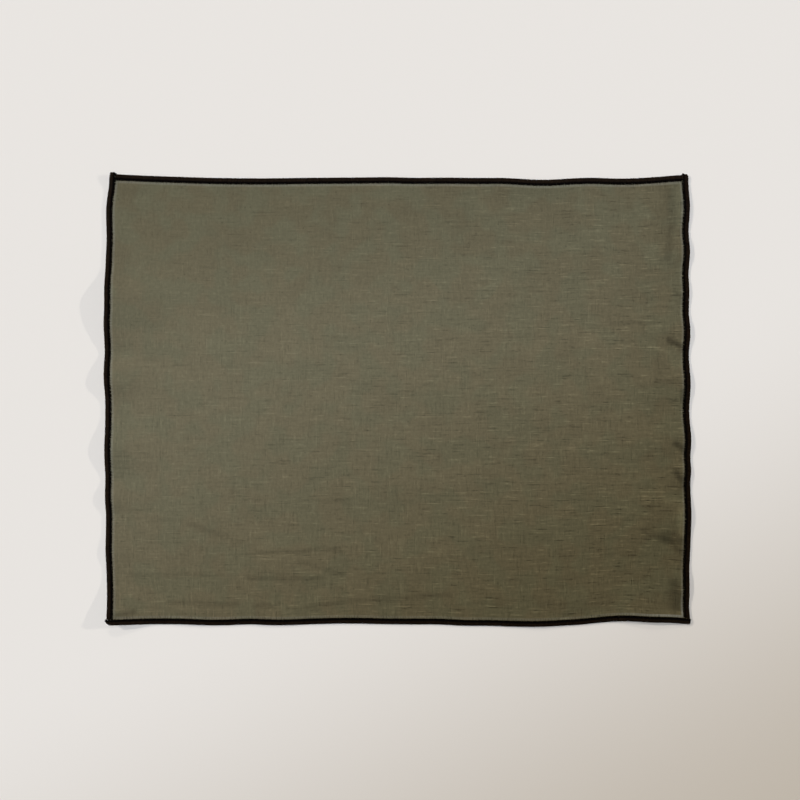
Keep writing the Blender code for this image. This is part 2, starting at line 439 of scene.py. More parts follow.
class Grain(Enum):
    """The linen's noises: lumps on a metre, finer layers, and how strong those are."""

    WANDER = (420.0, 1.0, 0.5)
    PATCHES = (85.0, 1.0, 0.5)
    NEEDLE = (160.0, 1.0, 0.5)
    NEPS = (75.0, 1.0, 0.5)
    HUE = (48.0, 1.5, 0.5)
    CLOUDS = (38.0, 3.0, 0.6)
    FIBRES = (430.0, 1.5, 0.6)


@dataclass(frozen=True)
class Slubs:
    """How the tone of the threads that run one way drifts along them, and where it shows.

    The accent is the extra step where a thread is thickest.
    """

    drifts_per_metre: float
    share_at_left: float
    share_rightward: float
    share_in_patches: float
    accent: float


class LinenRecipe(Recipe):
    """The linen material in the making, which reads places on the plain rectangle in metres."""

    def __init__(self, name: str) -> None:
        """Starts the material and finds the place on the mat."""
        super().__init__(name)
        self.place, self.across, self.up = self.read_map()

    def grain(self, kind: Grain) -> Socket:
        """Adds one of the linen's noises."""
        return self.noise(self.place, *kind.value)

    def weave(self, pitch: float) -> tuple[Socket, Socket, Socket]:
        """Draws the plain weave, each thread passing over one and under the next.

        Args:
            pitch: The distance from one thread to the next.

        Returns:
            The weave's height, the number of the thread that runs up the mat, and the
            number of the thread that runs across it.
        """
        wander = self.line(self.grain(Grain.WANDER), 0.3, -0.15)
        x = self.line(self.across, 1 / pitch, wander)
        y = self.line(self.up, 1 / pitch, wander)
        warp = self.math("FLOOR", x)
        weft = self.math("FLOOR", y)
        heights = []
        for place, travel, other, sense in ((x, y, warp, 0.5), (y, x, weft, -0.5)):
            turn = self.math("ADD", self.math("SUBTRACT", travel, 0.5), other)
            wave = self.line(self.math("COSINE", self.times(turn, math.pi)), sense, 0.5)
            bulge = self.math("ABSOLUTE", self.math("SINE", self.times(place, math.pi)))
            heights.append(self.times(self.math("POWER", bulge, 0.6), wave))
        return self.math("MAXIMUM", *heights), warp, weft

    def slubs(self, ways: tuple[tuple[Socket, Socket, Slubs], ...], depth: float) -> Socket:
        """Thickens and lightens stretches of single threads, both ways of the cloth.

        Args:
            ways: For each way, the number of the thread, the place along it and its slubs.
            depth: How much the tone changes where they show in full.

        Returns:
            The cloth's tone, which is 1 on the whole and more on the slubs.
        """
        patch = self.remap(self.grain(Grain.PATCHES), 0.35, 0.65)
        rightward = self.times(self.across, 1 / WIDTH)
        downward = self.line(self.up, -1 / DEPTH, 1.0)
        gain = self.line(downward, 0.93, self.line(rightward, 0.75, 0.63))
        total = 0.0
        for thread, along, form in ways:
            own = self.line(thread, 7.31, 0.37)
            spot = self.node("ShaderNodeCombineXYZ", self.times(along, form.drifts_per_metre), own)
            drift = self.noise(spot.outputs[0], 1.0, 3.0, 0.68)
            share = self.line(rightward, form.share_rightward, form.share_at_left)
            share = self.line(patch, form.share_in_patches, share)
            tone = self.math("SUBTRACT", drift, 0.5)
            tone = self.math("ADD", tone, self.remap(drift, 0.62, 0.72, 0.0, form.accent))
            tone = self.math("ADD", tone, self.remap(drift, 0.38, 0.28, 0.0, -0.8 * form.accent))
            total = self.line(tone, share, total)
        return self.line(self.times(total, gain), depth, 1.0)

    def from_sides(self) -> tuple[Socket, Socket]:
        """Measures how far a place lies from the nearer end, across the mat and up it."""
        across = self.math("MINIMUM", self.across, self.math("SUBTRACT", WIDTH, self.across))
        return across, self.math("MINIMUM", self.up, self.math("SUBTRACT", DEPTH, self.up))

    def slant(self) -> Socket:
        """Measures how far a place lies from the back left towards the front right."""
        return self.line(self.up, FALL[1], self.times(self.across, FALL[0]))

    def needle_marks(self, pitch: float) -> Socket:
        """Sinks a row of small dark marks where the stitches pull the cloth down.

        Args:
            pitch: The distance from one mark to the next.

        Returns:
            A number from 0 to 1, high in the marks.
        """
        jitter = self.grain(Grain.NEEDLE)
        rows = []
        for from_side, travel in zip(self.from_sides(), (self.up, self.across)):
            row = self.band(from_side, (0.0044, 0.0050), (0.0058, 0.0068))
            beat = self.line(travel, 2 * math.pi / pitch, self.times(jitter, 9.0))
            rows.append(self.times(row, self.remap(self.math("SINE", beat), 0.1, 0.95)))
        return self.times(self.math("MAXIMUM", *rows), self.remap(jitter, 0.3, 0.6, 0.35, 1.0))

    def neps(self) -> Socket:
        """Scatters small dark specks of thicker fibre.

        Returns:
            A number from 0 to 1, high in the specks.
        """
        cells = self.node("ShaderNodeTexVoronoi", self.place, voronoi_dimensions="2D")
        cells.inputs["Scale"].default_value = 120.0
        speck = self.remap(cells.outputs["Distance"], 0.05, 0.12, 1.0, 0.0)
        return self.times(speck, self.remap(self.grain(Grain.NEPS), 0.60, 0.68))

    def rim_highlight(self) -> Socket:
        """Paints a highlight on the cloth along the edging, strongest at the front right corner.

        Returns:
            How strong the painted highlight is, from 0 to 0.84.
        """
        from_rim = self.math("MINIMUM", *self.from_sides())
        rim = self.times(self.band(from_rim, (0.0048, 0.0053), (0.0062, 0.0074)), 0.28)
        return self.times(rim, self.remap(self.slant(), 0.165, 0.200, 1.0, 3.0))

    def depth(self) -> Socket:
        """Paints shade into the colour towards the back edge, the right edge and the front right
        corner.

        Returns:
            0 where no shade is painted and 1 where the painted shade is deepest.
        """
        light = 1.0
        for place, start, end, last in (
            (self.up, 0.200, 0.3512, 0.80),
            (self.across, 0.385, 0.452, 0.90),
            (self.slant(), 0.030, 0.160, 0.87),
        ):
            light = self.times(light, self.remap(place, start, end, 1.0, last))
        return self.node("ShaderNodeMapRange", light, 1.0, 0.66, 0.0, 1.0).outputs[0]


@dataclass(frozen=True)
class LinenFinish:
    """Washed linen in a plain weave, with slubs, neps and needle marks along the edging, and
    painted shade and highlights in its colour.
    """

    # pale is the linen's colour where no shade is painted; the darker, yellower colour after it is
    # painted shade
    pale: tuple = (0.1480, 0.1300, 0.0770, 1.0)
    painted_shade_colour: tuple = (0.0980, 0.0858, 0.0473, 1.0)
    greener: tuple = (0.1248, 0.1300, 0.0779, 1.0)
    painted_highlight: tuple = (0.1300, 0.1350, 0.1250, 1.0)
    sheen_tint: tuple = (0.62, 0.58, 0.46, 1.0)
    thread_pitch: float = 0.00088
    needle_pitch: float = 0.0021
    bump_depth: float = 0.00006
    slub_depth: float = 0.36
    level_slubs: Slubs = Slubs(46.0, 0.28, 0.55, 0.40, 0.38)
    plumb_slubs: Slubs = Slubs(80.0, 1.0, -0.22, -0.40, 0.17)
    weave_contrast: float = 0.20
    mark_contrast: float = -0.38
    nep_contrast: float = -0.18
    cloud_contrast: float = 0.12
    fibre_contrast: float = 0.28

    def build(self) -> Material:
        """Makes the material.

        Returns:
            The linen material, which reads its mesh's UV map in metres.
        """
        recipe = LinenRecipe("washed_linen")
        threads, warp, weft = recipe.weave(self.thread_pitch)
        ways = ((weft, recipe.across, self.level_slubs), (warp, recipe.up, self.plumb_slubs))
        streaks = recipe.slubs(ways, self.slub_depth)
        marks = recipe.needle_marks(self.needle_pitch)
        # Painted highlight: a lighter, greyer band on the cloth along the edging
        painted_highlight = recipe.rim_highlight()

        # Painted shade: the colour darkens towards the back edge, the right edge and the front
        # right corner
        colour = recipe.blend(recipe.depth(), self.pale, self.painted_shade_colour)
        hue = recipe.grain(Grain.HUE)
        colour = recipe.blend(recipe.remap(hue, 0.40, 0.64, 0.0, 0.34), colour, self.greener)
        colour = recipe.blend(painted_highlight, colour, self.painted_highlight)

        # The mesh's tone attribute holds the creases' painted shade and painted highlight
        tone = recipe.times(streaks, recipe.math("ADD", recipe.attribute("tone"), 1.0))
        for pattern, contrast, middle in (
            (threads, self.weave_contrast, 0.6),
            (marks, self.mark_contrast, 0.0),
            (painted_highlight, 1.0, 0.0),
            (recipe.neps(), self.nep_contrast, 0.0),
            (recipe.grain(Grain.CLOUDS), self.cloud_contrast, 0.5),
            (recipe.grain(Grain.FIBRES), self.fibre_contrast, 0.5),
        ):
            tone = recipe.times(tone, recipe.line(pattern, contrast, 1.0 - contrast * middle))
        recipe.paint(colour, tone)

        height = recipe.line(marks, -1.1, recipe.line(streaks, 0.55, threads))
        recipe.emboss(height, self.bump_depth)
        return recipe.finish(
            {
                "Roughness": 0.92,
                "Specular IOR Level": 0.12,
                "Sheen Weight": 0.10,
                "Sheen Roughness": 0.55,
                "Sheen Tint": self.sheen_tint,
            }
        )


@dataclass(frozen=True)
class ThreadFinish:
    """Black twisted thread, with a painted sheen on the outer crown and painted shade where it
    dips into the cloth.
    """

    sheen_crown: tuple = (0.0146, 0.0087, 0.0048, 1.0)
    shaded_groove: tuple = (0.0016, 0.0009, 0.0006, 1.0)
    twists: float = 15.0
    bump_depth: float = 0.00008

    def build(self) -> Material:
        """Makes the material.

        Returns:
            The thread material, which reads the run's inward and shade attributes.
        """
        recipe = Recipe("edging_thread")
        # Painted sheen on the outer crown and painted shade in the inner groove, by the inward
        # attribute
        groove_shade = recipe.remap(recipe.attribute("inward"), 0.40, 0.66)
        recipe.paint(recipe.blend(groove_shade, self.sheen_crown, self.shaded_groove), recipe.attribute("shade"))
        _, round_loop, round_thread = recipe.read_map()
        turn = recipe.line(round_loop, self.twists, round_thread)
        ply = recipe.math("SINE", recipe.times(turn, 2 * math.pi))
        recipe.emboss(ply, self.bump_depth)
        return recipe.finish({"Roughness": 0.62, "Specular IOR Level": 0.04})


@dataclass(frozen=True)
class FloorFinish:
    """A plain, pale, matt floor."""

    colour: tuple = (0.806, 0.775, 0.745, 1.0)

    def build(self) -> Material:
        """Makes the floor's material."""
        plain_values = {"Base Color": self.colour, "Roughness": 0.9, "Specular IOR Level": 0.0}
        return Recipe("pale_floor").finish(plain_values)


# Pieces


def read_points(mesh: Mesh) -> np.ndarray:
    """Reads a mesh's points as rows of x, y and z."""
    points = np.empty(len(mesh.vertices) * 3)
    mesh.vertices.foreach_get("co", points)
    return points.reshape(-1, 3)


def write_points(mesh: Mesh, points: np.ndarray) -> None:
    """Moves a mesh's points to the rows given."""
    mesh.vertices.foreach_set("co", points.ravel())
    mesh.update()


def store(mesh: Mesh, name: str, values: np.ndarray) -> None:
    """Keeps a number at each point of a mesh, for its finish to read."""
    mesh.attributes.new(name, "FLOAT", "POINT").data.foreach_set("value", values)


def as_mesh(name: str, form: bmesh.types.BMesh) -> Mesh:
    """Turns a form into a mesh and frees the form."""
    mesh = bpy.data.meshes.new(name)
    form.to_mesh(mesh)
    form.free()
    return mesh


def verts_of(made: dict[str, list]) -> list[bmesh.types.BMVert]:
    """Picks the points out of what an extrusion made."""
    return [item for item in made["geom"] if isinstance(item, bmesh.types.BMVert)]


def link(name: str, data: bpy.types.ID) -> Object:
    """Puts a mesh, a lamp or a camera into the scene, at the origin."""
    placed = bpy.data.objects.new(name, data)
    bpy.context.scene.collection.objects.link(placed)
    return placed


def show(name: str, mesh: Mesh, finish: Material) -> Object:
    """Dresses a finished mesh and puts it into the scene.

    Args:
        name: The piece's name.
        mesh: Its mesh, with its place in it.
        finish: Its material.

    Returns:
        The new object.
    """
    mesh.materials.append(finish)
    mesh.shade_smooth()
    LOG.info("%s: %d faces", name, len(mesh.polygons))
    return link(name, mesh)


# The creases. Each row gives the change of tone, painted shade below 0 and a painted highlight
# above 0, then the reach and the x and y of each point in millimetres.
CREASE_SHADE_ROWS = (
    (-0.08, 2.8, -190.9, -93.7, -167.8, -95.2),
    (-0.17, 3.9, -161.7, -97.5, -142.5, -104.1, -123.4, -110.6),
    (-0.18, 3.3, -109.5, -119.3, -77, -119.2, -62.9, -116.4, -45.8, -118.2),
    (0.085, 3.3, -106.5, -123.5, -57.5, -123.9), (-0.17, 3, -78.5, -126.1, -44.2, -137.8),
    (0.09, 2.3, -45.8, -142.5, -36.4, -148.8), (-0.13, 3, -210.7, -137.4, -137.3, -136.7),
    (-0.19, 3.4, -118.1, -138.9, -88.6, -139.9, -59.8, -139.9),
    (-0.18, 3.9, -178.1, -158.4, -126, -159.6), (-0.2, 3.1, -111.9, -161.4, -96.3, -160.8),
    (-0.19, 4.1, -71.4, -162.2, -37.9, -158.1, 40, -152.4),
    (-0.27, 3.9, -221.5, -168.6, -205.1, -165.2), (-0.03, 2.3, -1.3, -39.6, -1.3, -160.5),
    (0.045, 2.3, 2.2, -39.6, 2.2, -160.5), (0.03, 2.2, 3.4, -127.8, 10.4, -121.6, 17.4, -127.9),
    (-0.03, 2.3, -80.9, -84.1, -71.6, -84.2), (-0.07, 2.5, -65.3, -79.5, -38, -79.6),
    (-0.04, 4.7, -218.7, 161.5, -197.2, 163.9), (-0.015, 2.3, 5.8, 35.4, 5, -32.6),
    (-0.03, 2.3, 8.1, 4.2, 41.7, 5), (-0.015, 5.5, 32.4, 90.1, 33.2, 41),
    (0.11, 3.1, 125.1, -40.2, 139, -40.2), (0.07, 2.7, 144.9, 45.8, 164.3, 45.9),
    (-0.18, 5.5, 211.8, 164, 213.3, 136.5, 209.5, 110.9), (0.04, 3.1, 220, 164.3, 219.1, 118.9),
    (-0.24, 3.9, 215.3, 84.1, 224, 78.5), (0.08, 2.3, 200.7, 76.2, 214.7, 75.9),
    (0.1, 2.3, 181.1, 67.3, 195.2, 68), (-0.085, 3.1, 165.2, 60.1, 194, 60.1),
    (-0.5, 3.9, 210.1, 47.4, 224, 39.6), (0.28, 2.7, 196.5, 41.1, 210.8, 37.2),
    (0.28, 2.3, 213.6, 26.3, 222.2, 26.3), (-0.1, 4.3, 201.3, 12.2, 215.9, 15.3),
    (-0.44, 3.6, 220.7, 6.7, 223.1, -5), (-0.52, 3.9, 214.6, -33.9, 223.6, -40.1),
    (0.14, 2.3, 185.7, -61.7, 199.6, -60.8, 213.1, -55.1), (-0.46, 4.1, 213.9, -55.1, 223.1, -66),
    (-0.06, 2.5, 186.4, -45.8, 195.8, -45.8), (0.33, 2.7, 190.1, -76, 200.1, -79, 220.3, -79.4),
    (0.42, 3.9, 218.4, -85.7, 218.8, -105.5), (-0.26, 4.7, 191.6, -103.9, 212.9, -113),
    (-0.24, 4.4, 216.1, -116.8, 224.2, -122.6), (-0.33, 7, 206.5, -108.5, 219, -110.3),
    (-0.37, 7.8, 215.1, -144.2, 216.8, -162.3), (0.12, 2.7, 181.9, -168, 219.6, -167.5),
    (-0.2, 2.3, 157.1, -122.6, 166.5, -123.2), (-0.06, 2.3, 176.6, -121.1, 183.6, -121),
    (-0.07, 2.7, 167.7, -144.7, 188.7, -145.5), (-0.09, 11, 79.5, 164, 114.8, 167),
    (0.11, 9.4, 185.9, 164.3, 201.1, 157.1), (0.06, 12.5, 193.2, 145.8, 196.5, 121.9),
    (-0.05, 14.1, 49.7, 165.5, 49.7, 122), (-0.04, 11.7, -214.4, 124.1, -213.5, -63.2),
    (-0.06, 7.8, 79, -157.7, 180.6, -163.8), (0.05, 17.2, 180.7, -16, 199.9, -19.9),
    (0.05, 17.2, 168.6, -63.2, 199.8, -67.1), (0.035, 18.8, -138.7, -109.5, 47.9, -109.4),
)


@dataclass(frozen=True)
class LinenSheet:
    """The thin sheet of linen, creased by folding and washing."""

    shape: MatShape
    inset: float = 0.0013
    thickness: float = 0.0006
    bed: float = 0.0004
    rim_raise: float = 0.0006
    rim_hold: float = 0.0056
    rim_reach: float = 0.0090
    pitch: float = 0.0018
    seed: int = 11
    wave_count: int = 26
    wave_rise: float = 0.000030
    rise_per_tone: float = 0.0026
    creases: tuple[ShadedCrease, ...] = tuple(ShadedCrease.from_row(*row) for row in CREASE_SHADE_ROWS)

    @property
    def cut_size(self) -> tuple[float, float]:
        """The linen's width and depth as it was cut."""
        return 2 * (HALF_WIDTH - self.inset), 2 * (HALF_DEPTH - self.inset)

    def build(self, finish: Material) -> Object:
        """Makes the sheet: cut to size, given its thickness, settled and creased.

        Args:
            finish: The linen material.

        Returns:
            The sheet's object.
        """
        width, depth = self.cut_size
        columns, rows = round(width / self.pitch), round(depth / self.pitch)
        sheet = bmesh.new()
        sheet.loops.layers.uv.new("UVMap")
        bmesh.ops.create_grid(sheet, x_segments=columns, y_segments=rows, size=0.5)
        bmesh.ops.scale(sheet, vec=(width, depth, 1.0), verts=sheet.verts[:])
        top = verts_of(bmesh.ops.extrude_face_region(sheet, geom=sheet.faces[:]))
        bmesh.ops.translate(sheet, vec=(0, 0, self.thickness), verts=top)
        bmesh.ops.recalc_face_normals(sheet, faces=sheet.faces[:])
        mesh = as_mesh("linen_sheet", sheet)

        plain = read_points(mesh)
        corner_points = np.empty(len(mesh.loops), dtype=np.int32)
        mesh.loops.foreach_get("vertex_index", corner_points)
        places = plain[corner_points, :2] + np.array((HALF_WIDTH, HALF_DEPTH))
        mesh.uv_layers["UVMap"].data.foreach_set("uv", places.ravel())
        # The creases' painted shade and highlight, which the cloth's relief follows
        tone = self._crease_shade(plain[:, :2])
        store(mesh, "tone", tone)
        settled = self.shape.settle(plain)
        settled[:, 2] += self._relief(plain[:, :2], tone)
        write_points(mesh, settled)
        return show("linen_sheet", mesh, finish)

    def _crease_shade(self, plan: np.ndarray) -> np.ndarray:
        """Adds up the creases' painted shade and highlight at each point, as a share of the
        cloth's tone.
        """
        return sum(crease.rise * crease.share(plan) for crease in self.creases)

    def _relief(self, plan: np.ndarray, tone: np.ndarray) -> np.ndarray:
        """Works out the fine relief: the raised rim, the fine creases and a slight unevenness.

        Args:
            plan: The points' places on the plain rectangle.
            tone: The creases' change of tone at each point.

        Returns:
            How far above the table's plane the underside lies at each point.
        """
        from_rim = np.minimum(HALF_WIDTH - np.abs(plan[:, 0]), HALF_DEPTH - np.abs(plan[:, 1]))
        past_edging = np.maximum(from_rim - self.rim_hold, 0.0)
        relief = self.bed + self.rise_per_tone * tone
        chance = np.random.default_rng(self.seed)
        for _ in range(self.wave_count):
            heading = chance.uniform(0, math.pi)
            length = chance.uniform(0.012, 0.045)
            phase = chance.uniform(0, 2 * math.pi)
            travel = plan @ np.array((math.cos(heading), math.sin(heading)))
            relief += self.wave_rise * np.sin(2 * math.pi * travel / length + phase)
        relief = np.maximum(relief, 0.0)
        rim_share = swell(past_edging, self.rim_reach)
        return relief * (1 - rim_share) + (self.bed + self.rim_raise) * rim_share


class RunEnd(Enum):
    """The two ends of a run of the edging."""

    START = 1
    FINISH = -1


@dataclass(frozen=True)
class EndForm:
    """How far a run's end goes past the plain corner, how it is rounded and how it leans."""

    past: float
    rounding: float = 0.0
    lean: float = 0.0
    lean_reach: float = 0.006
    tip_share: float = 0.35


@dataclass(frozen=True)
class EdgingRun:
    """One side's run of the edging: stitches worked close together over a core darkened with
    painted shade.
    """

    name: str
    side: Side
    shape: MatShape
    start: EndForm
    finish: EndForm
    seed: int
    half_width: float
    pitch: float = 0.00095
    thread_radius: float = 0.00045
    overhang: float = 0.00012
    middle_up: float = 0.0013
    half_height: float = 0.00086
    crown_shift: float = 0.00045
    slant_degrees: float = 14.0
    ring_steps: int = 12
    thread_sides: int = 5
    core_wall: float = 0.0010
    core_width: float = 0.0046
    core_height: float = 0.0020
    core_step: float = 0.0040
    # The core is darkened to this share of the thread's colour, as painted shade between the
    # stitches
    core_shade: float = 0.25
    core_sides: int = 8
    core_inset: float = 0.0002
    slot_low: float = 0.0007
    slot_high: float = 0.0019

    @property
    def middle_in(self) -> float:
        """How far in from the side's outer edge the stitches' middle lies."""
        return self.half_width + self.thread_radius - self.overhang

    @property
    def ends(self) -> tuple[float, float]:
        """The places along the side, from its middle, where the run starts and finishes."""
        return -(self.side.half_along + self.start.past), self.side.half_along + self.finish.past

    def build(self, finish: Material) -> Object:
        """Makes the run: a row of stitches round a core, settled with the rest of the mat.

        Args:
            finish: The thread material.

        Returns:
            The run's object.
        """
        first, last = self.ends
        count = round((last - first) / self.pitch)
        row = self._stitch_row(count, (last - first) / count)
        run = bmesh.new()
        run.from_mesh(row)
        bpy.data.meshes.remove(row)
        stitched = len(run.verts)
        self._add_core(run)
        mesh = as_mesh(self.name, run)

        local = read_points(mesh)
        # The core's points get the painted shade; each stitch's random lightness follows
        shade = np.full(len(local), self.core_shade)
        stitch = np.arange(stitched) // (self.ring_steps * self.thread_sides)
        varied = self._vary(local[:stitched], stitch, (last - first) / count)
        local[:stitched], shade[:stitched] = varied
        inward = np.clip(local[:, 1] / (self.middle_in * 2), 0.0, 1.0)
        store(mesh, "inward", inward)
        store(mesh, "shade", shade)
        for form, end in ((self.start, RunEnd.START), (self.finish, RunEnd.FINISH)):
            local = self._form_end(local, form, end)
        local[:, 2] = np.maximum(local[:, 2], 0.0)
        write_points(mesh, self.shape.settle(self.side.on_plain(local)))
        if self.side.turn < 0:
            mesh.flip_normals()
        return show(self.name, mesh, finish)

    def _stitch_row(self, count: int, pitch: float) -> Mesh:
        """Makes one loop of thread and repeats it along the run.

        Args:
            count: How many stitches the run has.
            pitch: The distance from one to the next.

        Returns:
            A mesh of all the stitches, drawn as (along, inward, up).
        """
        loop = bmesh.new()
        radius = self.half_width
        quarter = Matrix.Rotation(math.pi / 2, 3, "Z")
        bmesh.ops.create_circle(loop, segments=self.thread_sides, radius=self.thread_radius)
        bmesh.ops.rotate(loop, cent=(0, 0, 0), matrix=quarter, verts=loop.verts[:])
        bmesh.ops.translate(loop, vec=(0, radius, 0), verts=loop.verts[:])
        bmesh.ops.spin(
            loop,
            geom=loop.verts[:] + loop.edges[:],
            cent=(0, 0, 0),
            axis=(1, 0, 0),
            angle=2 * math.pi,
            steps=self.ring_steps,
            use_merge=True,
        )
        bmesh.ops.recalc_face_normals(loop, faces=loop.faces[:])
        self._unwrap_loop(loop, radius)
        for vert in loop.verts:
            turn = math.atan2(vert.co.z, vert.co.y)
            out = math.hypot(vert.co.y, vert.co.z) - radius
            inward, rise = math.cos(turn), math.sin(turn)
            normal = Vector((0, inward / radius, rise / self.half_height))
            centre = Vector((vert.co.x, inward * radius, rise * self.half_height))
            vert.co = centre + normal.normalized() * out
            vert.co.y -= self.crown_shift * max(rise, 0.0)
        slant = Matrix.Rotation(math.radians(self.slant_degrees * self.side.turn), 3, "Z")
        bmesh.ops.rotate(loop, cent=(0, 0, 0), matrix=slant, verts=loop.verts[:])
        first_place = (self.ends[0] + 0.5 * pitch, self.middle_in, self.middle_up)
        bmesh.ops.translate(loop, vec=first_place, verts=loop.verts[:])
        mesh = as_mesh("stitch", loop)
        carrier = link("stitch", mesh)
        repeat = carrier.modifiers.new("repeat", "ARRAY")
        repeat.count = count
        repeat.use_relative_offset = False
        repeat.use_constant_offset = True
        repeat.constant_offset_displace = (pitch, 0, 0)
        bpy.context.view_layer.update()
        repeated = carrier.evaluated_get(bpy.context.evaluated_depsgraph_get())
        row = bpy.data.meshes.new_from_object(repeated)
        bpy.data.objects.remove(carrier)
        bpy.data.meshes.remove(mesh)
        return row

    @staticmethod
    def _unwrap_loop(loop: bmesh.types.BMesh, radius: float) -> None:
        """Lays the thread out flat: U once along the loop, V once round the thread.

        Args:
            loop: A round ring about the X axis.
            radius: The ring's radius, to the thread's middle.
        """
        layer = loop.loops.layers.uv.new("UVMap")
        full = 2 * math.pi

        def angles(point: Vector) -> tuple[float, float]:
            """The turn round the ring and the turn round the thread at a point."""
            out = math.hypot(point.y, point.z) - radius
            return math.atan2(point.z, point.y), math.atan2(point.x, out)

        for face in loop.faces:
            middle = angles(face.calc_center_median())
            for corner in face.loops:
                here = angles(corner.vert.co)
                near = [m + (h - m + math.pi) % full - math.pi for h, m in zip(here, middle)]
                corner[layer].uv = (near[0] / full, near[1] / full)

    def _add_core(self, run: bmesh.types.BMesh) -> None:
        """Adds the dark core under the stitches: a flattened band, open inwards for the linen.

        Args:
            run: The mesh that holds the stitches.
        """
        first, last = self.ends
        half_width, half_height = 0.5 * self.core_width, 0.5 * self.core_height
        low_turn = math.asin((self.slot_low - self.middle_up) / half_height)
        high_turn = math.asin((self.slot_high - self.middle_up) / half_height)
        sweep = 2 * math.pi - high_turn + low_turn
        outline = []
        for step in range(self.core_sides + 1):
            turn = high_turn + sweep * step / self.core_sides
            inward = half_width * (1 + math.cos(turn)) + self.core_inset
            outline.append((first, inward, self.middle_up + half_height * math.sin(turn)))
        outline += [(first, self.core_wall, up) for up in (self.slot_low, self.slot_high)]
        tip = run.faces.new([run.verts.new(point) for point in outline])
        steps = round((last - first) / self.core_step)
        for step in range(steps):
            drawn = bmesh.ops.extrude_face_region(run, geom=[tip], use_keep_orig=step == 0)
            bmesh.ops.translate(run, vec=((last - first) / steps, 0, 0), verts=verts_of(drawn))
            tip = next(item for item in drawn["geom"] if isinstance(item, bmesh.types.BMFace))

    def _vary(
        self, points: np.ndarray, stitch: np.ndarray, pitch: float
    ) -> tuple[np.ndarray, np.ndarray]:
        """Makes each stitch a little different from the next.

        Args:
            points: The stitches' points, as (along, inward, up).
            stitch: The number of the stitch that each point belongs to.
            pitch: The distance from one stitch to the next.

        Returns:
            The points after the change, and how light the thread is at each.
        """
        chance = np.random.default_rng(self.seed)
        count = int(stitch[-1]) + 1
        slant = np.tan(np.radians(chance.normal(0.0, 3.0, count)))
        slip = chance.normal(0.0, 0.07 * pitch, count)
        wide = 1 + chance.normal(0.0, 0.018, count)
        tall = 1 + chance.normal(0.0, 0.045, count)
        shade = np.clip(1 + chance.normal(0.0, 0.16, count), 0.5, 1.6)
        moved = points.copy()
        from_middle = points[:, 1] - self.middle_in
        moved[:, 0] += slip[stitch] + slant[stitch] * from_middle
        moved[:, 1] = self.middle_in + from_middle * wide[stitch]
        moved[:, 2] = self.middle_up + (points[:, 2] - self.middle_up) * tall[stitch]
        return moved, shade[stitch]

    def _form_end(self, local: np.ndarray, form: EndForm, end: RunEnd) -> np.ndarray:
        """Draws an end of the run in to a rounded, leaning tip.

        Args:
            local: The run's points, as (along, inward, up).
            form: The end's form.
            end: Which end it is.

        Returns:
            The points after the change.
        """
        tip = self.ends[0] if end is RunEnd.START else self.ends[1]
        from_tip = end.value * (local[:, 0] - tip)
        formed = local.copy()
        if form.rounding:
            share = np.sqrt(1 - (1 - np.clip(from_tip / form.rounding, 0.0, 1.0)) ** 2)
            share = form.tip_share + (1 - form.tip_share) * share
            middle = np.array((self.middle_in, self.middle_up))
            formed[:, 1:] = middle + (local[:, 1:] - middle) * share[:, None]
        if form.lean:
            push = form.lean * (local[:, 1] - self.middle_in)
            push *= swell(np.maximum(from_tip, 0.0), form.lean_reach)
            formed[:, 0] -= end.value * push
        return formed


# The studio


class Lit(Enum):
    """What a lamp lights."""

    ALL = "all"
    FLOOR = "floor"
    MAT = "mat"

    def limit(self, lamp: Object, floor: Object, pieces: list[Object]) -> None:
        """Links a lamp's light to what it lights.

        Args:
            lamp: The lamp's object.
            floor: The floor.
            pieces: The mat's pieces.
        """
        if self is Lit.ALL:
            return
        receivers = bpy.data.collections.new(f"{lamp.name}_lights")
        for piece in [floor] if self is Lit.FLOOR else pieces:
            receivers.objects.link(piece)
        lamp.light_linking.receiver_collection = receivers


@dataclass(frozen=True)
class SunLamp:
    """A far, soft-edged lamp that gives a share of the floor's light."""

    name: str
    from_x: float
    from_y: float
    elevation_degrees: float
    share: float
    width_degrees: float
    lights: Lit = Lit.ALL
    shadows: bool = True
    colour: tuple = LAMP_COLOUR

    def build(self) -> Object:
        """Adds the lamp, aimed down its beam.

        Returns:
            The lamp's object.
        """
        rise = math.radians(self.elevation_degrees)
        lamp = bpy.data.lights.new(self.name, "SUN")
        lamp.energy = self.share * math.pi / math.sin(rise)
        lamp.color = self.colour
        lamp.angle = math.radians(self.width_degrees)
        lamp.use_shadow = self.shadows
        holder = link(self.name, lamp)
        level = Vector((self.from_x, self.from_y, 0)).normalized()
        towards = level * math.cos(rise) + Vector((0, 0, math.sin(rise)))
        holder.rotation_euler = towards.to_track_quat("Z", "Y").to_euler()
        return holder


@dataclass(frozen=True)
class FadingLamp:
    """A wide lamp far behind the mat, whose beam ends softly along a slanting line.

    The light fades from fade_start to fade_end, counted in metres along FALL from the middle
    of the floor.
    """

    name: str
    lights: Lit
    share: float
    colour: tuple
    fade_start: float
    fade_end: float
    back: float
    height: float = 20.0
    half_angle: float = math.radians(80.0)
    radius: float = 0.02

    def build(self) -> Object:
        """Adds the lamp, which casts no shadow.

        Returns:
            The lamp's object.
        """
        edge = math.atan((self.back + self.fade_end) / self.height)
        full = math.atan((self.back + self.fade_start) / self.height)
        tilt = edge - self.half_angle
        rim = math.cos(self.half_angle)
        lamp = bpy.data.lights.new(self.name, "SPOT")
        reach = math.hypot(self.back, self.height)
        lamp.energy = 4 * math.pi**2 * self.share * reach**3 / self.height
        lamp.color = self.colour
        lamp.spot_size = 2 * self.half_angle
        lamp.spot_blend = (math.cos(full - tilt) - rim) / (1 - rim)
        lamp.shadow_soft_size = self.radius
        lamp.use_shadow = False
        holder = link(self.name, lamp)
        fall = Vector((*FALL, 0))
        holder.location = fall * -self.back + Vector((0, 0, self.height))
        aim = fall * math.sin(tilt) - Vector((0, 0, math.cos(tilt)))
        holder.rotation_euler = aim.to_track_quat("-Z", "Y").to_euler()
        return holder


